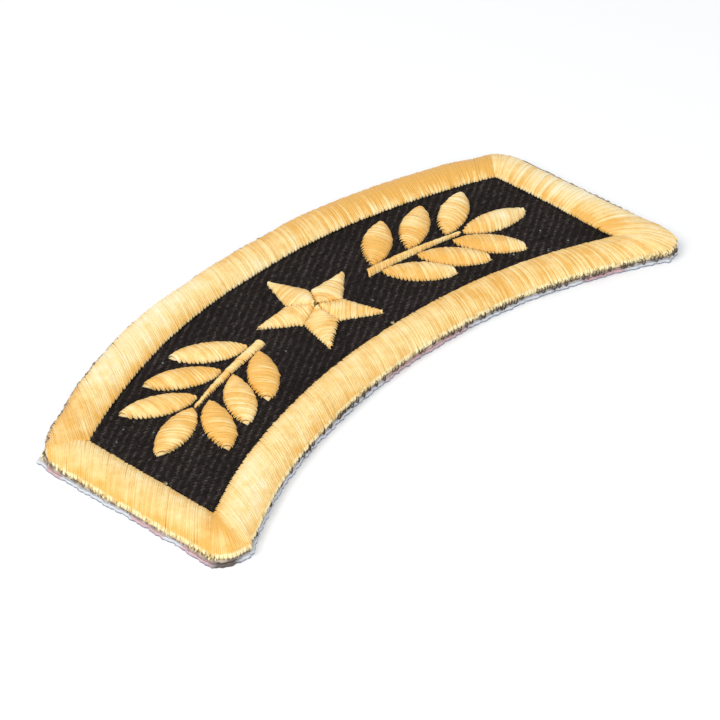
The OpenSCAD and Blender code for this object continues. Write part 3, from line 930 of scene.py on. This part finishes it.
class Nodes:
    """Short ways to place and join the nodes of one tree."""

    def __init__(self, tree):
        self.tree = tree

    def add(self, kind, settings=None, **values):
        """A node of a kind, with its own settings, and its inputs set to values or joined to outputs."""
        node = self.tree.nodes.new(kind)
        for key, value in (settings or {}).items():
            setattr(node, key, value)
        return self.fill(node, **values)

    def fill(self, node, **values):
        """Sets or joins inputs by their names, with _ for a space, or by their numbers as n0, n1, n2."""
        for key, value in values.items():
            socket = node.inputs[int(key[1:]) if key[1:].isdigit() else key.replace("_", " ")]
            if isinstance(value, bpy.types.NodeSocket):
                self.tree.links.new(value, socket)
            else:
                socket.default_value = value
        return node

    def place(self):
        """The place on the piece, in metres."""
        return self.add("ShaderNodeTexCoord").outputs["Object"]

    def split(self, vector):
        """The three parts of a vector."""
        return self.add("ShaderNodeSeparateXYZ", n0=vector).outputs

    def tone(self):
        """The tone that the mesh holds."""
        return self.add("ShaderNodeAttribute", {"attribute_name": "tone"}).outputs["Fac"]

    def math(self, operation, first, second=0.0, third=0.0):
        """The result of one arithmetic step."""
        return self.add("ShaderNodeMath", {"operation": operation}, n0=first, n1=second, n2=third).outputs[0]

    def times(self, first, *others):
        """The product of several values."""
        for other in others:
            first = self.math("MULTIPLY", first, other)
        return first

    def scaled(self, value, factor, offset):
        """A value times a factor, plus an offset."""
        return self.math("MULTIPLY_ADD", value, factor, offset)

    def remap(self, value, low, high, to_low=0.0, to_high=1.0):
        """A value taken from one range to another, and held within it."""
        return self.add("ShaderNodeMapRange", n0=value, n1=low, n2=high, n3=to_low, n4=to_high).outputs[0]

    def near(self, place, centre, inner, outer, most=1.0):
        """The most within the inner distance of a centre, fading to 0 at the outer one."""
        away = self.add("ShaderNodeVectorMath", {"operation": "DISTANCE"}, n0=place, n1=centre)
        return self.remap(away.outputs["Value"], inner, outer, most, 0.0)

    def mix(self, factor, first, second):
        """A mix of two colours."""
        return self.add("ShaderNodeMix", {"data_type": "RGBA"}, n0=factor, n6=first, n7=second).outputs[2]

    def noise(self, vector, scale, detail=2.0, roughness=0.5):
        """The grey value of a noise texture."""
        node = self.add("ShaderNodeTexNoise", Vector=vector, Scale=scale, Detail=detail, Roughness=roughness)
        return node.outputs[0]

    def group(self, group, **values):
        """The outputs of a placed node group with its own values."""
        return self.add("ShaderNodeGroup", {"node_tree": group}, **values).outputs

    def bump(self, shader, height, distance, strength=1.0):
        """Fine relief of a given height in metres on the shader's normal."""
        node = self.add("ShaderNodeBump", Height=height, Distance=distance, Strength=strength)
        self.fill(shader, Normal=node.outputs[0])


def new_group(name, inputs, outputs):
    """An empty shader node group with named sockets, and the nodes of its inputs and outputs."""
    group = bpy.data.node_groups.new(name, "ShaderNodeTree")
    for label, kind, value in inputs:
        socket = group.interface.new_socket(label, in_out="INPUT", socket_type="NodeSocket" + kind)
        socket.default_value = value
    for label, kind in outputs:
        group.interface.new_socket(label, in_out="OUTPUT", socket_type="NodeSocket" + kind)
    nodes = Nodes(group)
    return group, nodes, nodes.add("NodeGroupInput").outputs, nodes.add("NodeGroupOutput")


def thread_group():
    """Spun thread: pale and deep tones from thread to thread, fine fibres along it and two twisted plies."""
    group, nodes, given, result = new_group(
        "spun_thread",
        [("Pale", "Color", (1, 1, 1, 1)), ("Middle", "Color", (0.5, 0.5, 0.5, 1)),
         ("Deep", "Color", (0, 0, 0, 1)), ("Variation", "Float", 0.3)],
        [("Color", "Color"), ("Height", "Float"), ("Roughness", "Float")])
    tone = nodes.tone()
    along, across, _ = nodes.split(nodes.add("ShaderNodeUVMap", {"uv_map": "thread"}).outputs[0])
    place = nodes.place()
    fibre_place = nodes.add("ShaderNodeCombineXYZ", X=nodes.times(along, 0.8), Y=nodes.times(across, 5.0))
    fibres = nodes.noise(fibre_place.outputs[0], 2.2, 3.0, 0.6)
    twist = nodes.math("ADD", nodes.times(along, 1.1), nodes.times(across, 2.0))
    plies = nodes.math("SINE", nodes.times(twist, 2 * math.pi))
    varied = nodes.math("SUBTRACT", tone, 0.5)
    for more in (nodes.scaled(fibres, 1.6, -0.8), nodes.scaled(nodes.noise(place, 620.0, 2.0), 2.0, -1.0),
                 nodes.scaled(nodes.noise(place, 60.0, 1.0), 1.6, -0.8)):
        varied = nodes.math("ADD", varied, more)
    shade = nodes.scaled(varied, given["Variation"], 0.5)
    lower = nodes.mix(nodes.remap(shade, 0.0, 0.5), given["Deep"], given["Middle"])
    nodes.fill(result, Color=nodes.mix(nodes.remap(shade, 0.5, 1.0), lower, given["Pale"]),
               Height=nodes.math("ADD", nodes.times(plies, 0.25), fibres),
               Roughness=nodes.remap(fibres, 0.3, 0.7, 0.38, 0.55))
    return group


def speck_group():
    """Dust and lint: sparse soft dots and a slow cloud over a surface."""
    group, nodes, given, result = new_group(
        "dust_specks", [("Scale", "Float", 900.0), ("Amount", "Float", 0.1)],
        [("Specks", "Float"), ("Cloud", "Float")])
    place = nodes.place()
    threshold = nodes.math("SUBTRACT", 0.82, given["Amount"])
    nodes.fill(result, Specks=nodes.remap(nodes.noise(place, given["Scale"], 1.0), threshold, 0.9),
               Cloud=nodes.noise(place, 110.0, 3.0))
    return group


def stain_group():
    """Where the backing is tinted pink, and where it is soiled: 1 round each named place, fading to 0."""
    group, nodes, _, result = new_group("backing_stains", [], [("Tint", "Float"), ("Soil", "Float")])
    place = nodes.place()
    tint = 0.0
    for x, y, reach in PINK_PLACES:
        patch = nodes.near(place, (x * MM, y * MM, 0.0), 0.85 * reach * MM, 1.15 * reach * MM)
        tint = nodes.math("MAXIMUM", tint, patch)
    nodes.fill(result, Tint=tint, Soil=nodes.near(place, SOILED_CORNER, 0.9 * MM, 1.9 * MM, 0.95))
    return group


def new_material(name):
    """A material, a way to add nodes to it, and its Principled shader."""
    material = bpy.data.materials.new(name)
    material.use_nodes = True
    return material, Nodes(material.node_tree), material.node_tree.nodes["Principled BSDF"]


def golden_thread(name, thread, variation):
    """Shiny golden embroidery thread, with painted shade and patches of painted highlight where it goes down
    into the cloth, as at the cut edge.
    """
    material, nodes, shader = new_material(name)
    spun_gold = nodes.group(thread, Pale=GOLD_PALE, Middle=GOLD_MID, Deep=GOLD_DEEP, Variation=variation)
    place = nodes.place()
    # painted shade low down where the thread goes into the cloth, broken by patches of painted highlight
    low = nodes.remap(nodes.split(place)[2], CLOTH_TOP - 0.02 * MM, CLOTH_TOP + 0.16 * MM, 0.85, 0.0)
    highlight_patches = nodes.remap(nodes.noise(place, 1300.0, 1.0), 0.36, 0.50)
    ends = nodes.mix(highlight_patches, PAINTED_SHADE_END, PAINTED_HIGHLIGHT_END)
    nodes.fill(shader, Base_Color=nodes.mix(low, spun_gold["Color"], ends), Roughness=spun_gold["Roughness"],
               Sheen_Weight=0.10, Sheen_Roughness=0.4, Specular_IOR_Level=0.7)
    nodes.bump(shader, spun_gold["Height"], 0.02 * MM, 0.8)
    return material


def black_twill(speck, stain):
    """Black cotton twill: every warp float has its own crown and tone over dark pits, and the cut is brown.
    The floats are painted lighter at their crowns, and the pits dark as painted shade.

    Row number r is the whole part of y / warp pitch. Along a row, share s is the fraction of
    (x / weft pitch - r) / repeat. A float covers s up to span / repeat, and the weft holds it down past that.
    """
    material, nodes, shader = new_material("black_twill")
    place = nodes.place()
    x, y, z = nodes.split(place)
    weft, warp = (nodes.math("ADD", nodes.math("DIVIDE", part, pitch),
                             nodes.scaled(nodes.noise(place, scale, 1.0), 2 * sway, -sway))
                  for part, pitch, scale, sway in ((x, WEFT_PITCH, 700.0, 0.7), (y, WARP_PITCH, 450.0, 0.8)))
    row = nodes.math("FLOOR", warp)
    turn = nodes.math("DIVIDE", nodes.math("SUBTRACT", weft, row), TWILL_REPEAT)
    yarn = nodes.scaled(nodes.math("FRACT", warp), 2.0, -1.0)
    crown = nodes.math("SQRT", nodes.math("SUBTRACT", 1.0, nodes.times(yarn, yarn)))
    middle = FLOAT_SPAN / TWILL_REPEAT / 2
    off = nodes.math("ABSOLUTE", nodes.math("SUBTRACT", nodes.math("FRACT", turn), middle))
    rise = nodes.times(crown, nodes.remap(off, 0.0, 0.26, 1.0, 0.0))
    cell = nodes.add("ShaderNodeCombineXYZ", X=row, Y=nodes.math("FLOOR", turn))
    float_tone = nodes.add("ShaderNodeTexWhiteNoise", Vector=cell.outputs[0]).outputs[0]
    fibres = nodes.noise(place, 5200.0, 3.0, 0.7)
    fuzz = nodes.noise(place, 2600.0, 2.0, 0.6)
    dust = nodes.group(speck, Scale=1500.0, Amount=0.12)
    worn = nodes.times(nodes.remap(dust["Cloud"], 0.3, 0.7, 0.65, 1.25),
                       nodes.remap(fibres, 0.3, 0.7, 0.5, 1.5))
    # painted light on each float's crown and painted shade in the pits, times its own tone, dust and fibres
    lit = nodes.times(nodes.scaled(rise, 0.80, 0.17), nodes.remap(fuzz, 0.36, 0.62, 0.22, 1.0),
                      nodes.remap(float_tone, 0.0, 1.0, 0.45, 1.05), worn)
    dark = nodes.mix(lit, TWILL_PIT_SHADE, TWILL_CROWN_LIGHT)
    dusty = nodes.mix(nodes.times(dust["Specks"], 0.25), dark, TWILL_DUST)

    frayed = nodes.mix(nodes.remap(nodes.noise(place, 1500.0, 2.0), 0.42, 0.60), CUT_BROWN, CUT_CREAM)
    stains = nodes.group(stain)
    lining = nodes.mix(stains["Tint"], BACKING_GREY, BACKING_PINK)
    lining = nodes.mix(stains["Soil"], lining, BACKING_SOIL)
    foot = nodes.remap(z, CLOTH_UNDER + 0.06 * MM, CLOTH_UNDER + 0.22 * MM, 0.9, 0.0)
    frayed = nodes.mix(foot, frayed, lining)
    nodes.fill(shader, Base_Color=nodes.mix(nodes.tone(), dusty, frayed),
               Roughness=nodes.remap(fibres, 0.2, 0.8, 0.72, 0.95), Specular_IOR_Level=0.05)
    nodes.bump(shader, nodes.math("ADD", rise, nodes.times(fibres, 0.6)), 0.08 * MM)
    return material


def white_backing(speck, stain):
    """Stiff white backing: pressed fibres, pink stretches, a painted shadow at its foot, one soiled corner.
    """
    material, nodes, shader = new_material("white_backing")
    place = nodes.place()
    dust = nodes.group(speck, Scale=700.0, Amount=0.16)
    stains = nodes.group(stain)
    colour = nodes.mix(dust["Cloud"], BACKING_GREY, BACKING_WHITE)
    colour = nodes.mix(nodes.times(stains["Tint"], 0.95), colour, BACKING_PINK)
    # painted contact shadow along the foot, and dust specks in the same colour
    foot_shade_and_dust = nodes.remap(nodes.split(place)[2], 0.08 * MM, 0.18 * MM, 0.95, 0.0)
    foot_shade_and_dust = nodes.math("MAXIMUM", foot_shade_and_dust, nodes.times(dust["Specks"], 0.4))
    colour = nodes.mix(foot_shade_and_dust, colour, BACKING_SHADE_AND_DUST)
    fibres = nodes.noise(place, 2400.0, 3.0, 0.7)
    nodes.fill(shader, Base_Color=nodes.mix(stains["Soil"], colour, BACKING_SOIL),
               Roughness=nodes.remap(fibres, 0.3, 0.7, 0.5, 0.75))
    nodes.bump(shader, fibres, 0.04 * MM, 0.8)
    return material


def dull_yarn(name, thread, pale, middle, deep):
    """Dull cut yarn."""
    material, nodes, shader = new_material(name)
    yarn = nodes.group(thread, Pale=pale, Middle=middle, Deep=deep, Variation=0.7)
    nodes.fill(shader, Base_Color=yarn["Color"], Roughness=yarn["Roughness"], Specular_IOR_Level=0.2)
    nodes.bump(shader, yarn["Height"], 0.02 * MM, 0.6)
    return material


# The stage

def placed(name, data, place, away):
    """A camera or a light at a place, with its back to the direction away."""
    item = bpy.data.objects.new(name, data)
    item.location = place
    item.rotation_euler = away.to_track_quat("Z", "Y").to_euler()
    bpy.context.scene.collection.objects.link(item)
    return item


def camera():
    """The camera of the photograph, looking down on the patch from its lower left."""
    data = bpy.data.cameras.new("camera")
    data.lens = CAMERA_LENS_MM
    data.sensor_width = SENSOR_MM
    data.clip_start = 0.01
    data.clip_end = 20
    level = math.cos(CAMERA_HEIGHT)
    away = Vector((math.sin(CAMERA_AZIMUTH) * level, -math.cos(CAMERA_AZIMUTH) * level,
                   math.sin(CAMERA_HEIGHT)))
    bpy.context.scene.camera = placed("camera", data, CAMERA_TARGET + away * CAMERA_DISTANCE, away)


def lights():
    """Soft studio light: a key light from the left, a wide fill from the front and an even pale sky."""
    for name, place, size, power, colour in LIGHTS:
        data = bpy.data.lights.new(name, "AREA")
        data.size = size
        data.energy = power
        data.color = colour
        placed(name, data, place, Vector(place))
    world = bpy.data.worlds.new("studio")
    world.use_nodes = True
    Nodes(world.node_tree).fill(world.node_tree.nodes["Background"], Color=SKY_COLOUR, Strength=SKY_STRENGTH)
    bpy.context.scene.world = world
    bpy.context.scene.view_settings.view_transform = "Standard"


def floor():
    """A plain floor of pale paper just under the backing."""
    corners = [(-FLOOR_HALF, -FLOOR_HALF), (FLOOR_HALF, -FLOOR_HALF), (FLOOR_HALF, FLOOR_HALF),
               (-FLOOR_HALF, FLOOR_HALF)]
    points = raised(np.array(corners), np.full(4, BACKING_LOW.z - FLOOR_DROP))
    sheet = mesh_object("floor", points, [[0, 1, 2, 3]])
    material, nodes, shader = new_material("floor_paper")
    nodes.fill(shader, Base_Color=FLOOR_COLOUR, Roughness=0.9, Specular_IOR_Level=0.1)
    sheet.data.materials.append(material)


def dress(piece, material, slot, *nodes):
    """Gives a piece its material and the body root, and hides the nodes that it stands for; slot is not used.
    """
    piece.data.materials.append(material)
    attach(piece, "root")
    if nodes:
        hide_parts(*nodes)
    return piece


def sprig_nodes(side):
    """Names of the solids of one sprig."""
    leaves = [f"{side}_{row}_leaf_{pair + 1}" for pair in range(PAIRS) for row in ("upper", "lower")]
    return [f"{side}_stem", f"{side}_tip_leaf"] + leaves


def build():
    """Camera, stage, cloths, stitches and loose fibres, each with its material."""
    camera()
    lights()
    floor()
    thread, speck, stain = thread_group(), speck_group(), stain_group()
    border_gold = golden_thread("border_gold", thread, variation=0.40)
    figure_gold = golden_thread("figure_gold", thread, variation=0.46)
    cream, dark, fluff = (dull_yarn(name, thread, *colours) for name, colours in YARNS.items())

    backing = dress(backing_sheet(), white_backing(speck, stain), "backing", "backing")
    twill = dress(twill_cloth(), black_twill(speck, stain), "twill", "twill_ground")

    dress(border_stitches(), border_gold, "border_thread", "satin_border")
    dress(border_underlay(), border_gold, "border_thread")
    dress(star_stitches(), figure_gold, "figure_thread", "star")
    dress(star_underlay(), figure_gold, "figure_thread")
    for side, hand, seed in (("left", -1, 71), ("right", 1, 81)):
        dress(sprig_stitches(f"{side}_sprig_stitches", hand, seed), figure_gold, "figure_thread",
              *sprig_nodes(side))
        dress(sprig_underlay(f"{side}_sprig_underlay", hand), figure_gold, "figure_thread")

    dress(cut_strands("dark_cut_ends", pitch=0.34 * MM, seed=91, above=0, down=0.75, loop=0.16 * MM,
                      lean=0.12 * MM, thickness=0.15 * MM, kept=(1, 1, 1, 1, 1, 1)), dark, "twill")
    dress(cut_strands("dark_cut_loops", pitch=0.72 * MM, seed=93, above=0.45 * MM, down=2.05, loop=0.24 * MM,
                      lean=0, thickness=0.18 * MM, kept=(0, 0.0, 0.65, 0.95, 0.95, 0), outset=0.14 * MM,
                      closed=True, shift=-1.2), dark, "twill")
    dress(cut_strands("cream_cut_ends", pitch=0.60 * MM, seed=95, above=0.34 * MM, down=1.30, loop=0.06 * MM,
                      lean=0.08 * MM, thickness=0.28 * MM, kept=(1, 0.45, 0.75, 0.55, 0.55, 0.2)),
          cream, "border_thread")
    lint = loose_fibres("lint", LINT_PLACES, each=3, low=0.09, high=0.24, height=0.03 * MM, seed=61)
    dress(lint, fluff, "twill")
    tufts = loose_fibres("tufts", TUFT_PLACES, each=6, low=0.2, high=0.5, height=0.10 * MM, seed=63)
    dress(tufts, cream, "border_thread")


build()
